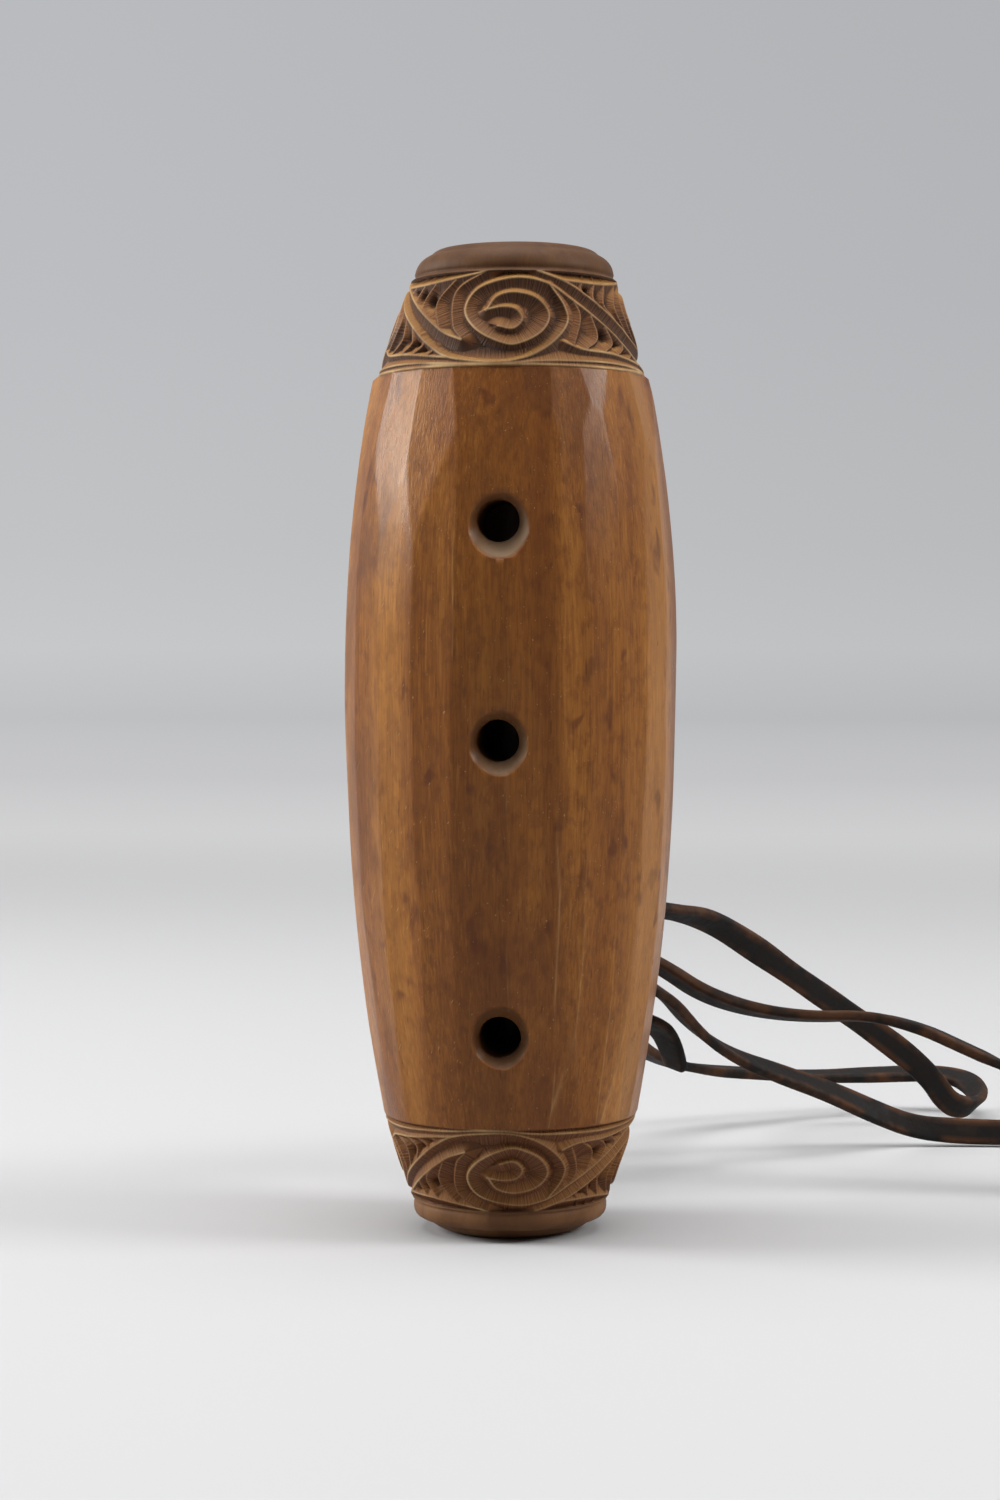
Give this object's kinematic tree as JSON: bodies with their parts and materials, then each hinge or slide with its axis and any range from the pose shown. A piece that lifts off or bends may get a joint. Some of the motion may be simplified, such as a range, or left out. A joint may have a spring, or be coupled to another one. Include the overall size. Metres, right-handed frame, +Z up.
{
  "type": "end-blown flute",
  "caption": "Short barrel-shaped wooden end-blown flute with a whittled surface, carved end bands, finger holes and a knotted leather neck thong.",
  "frame": {"origin": "middle of the foot, on the surface that the flute stands on", "axes": "+Z up along the bore towards the mouth, finger holes on -Y, thong tunnel on +Y"},
  "size_m": [0.141, 0.1429, 0.14],
  "materials": {
    "wood": "hand-whittled, oiled and polished by handling",
    "thong_leather": "dark, worn flat leather strip"
  },
  "bodies": {
    "root": {"flute_body": "wood", "thong_tunnel_turn": "thong_leather", "thong_knot": "thong_leather", "thong_short_loop": "thong_leather", "thong_long_loop": "thong_leather", "thong_tail": "thong_leather"}
  },
  "joints": []
}
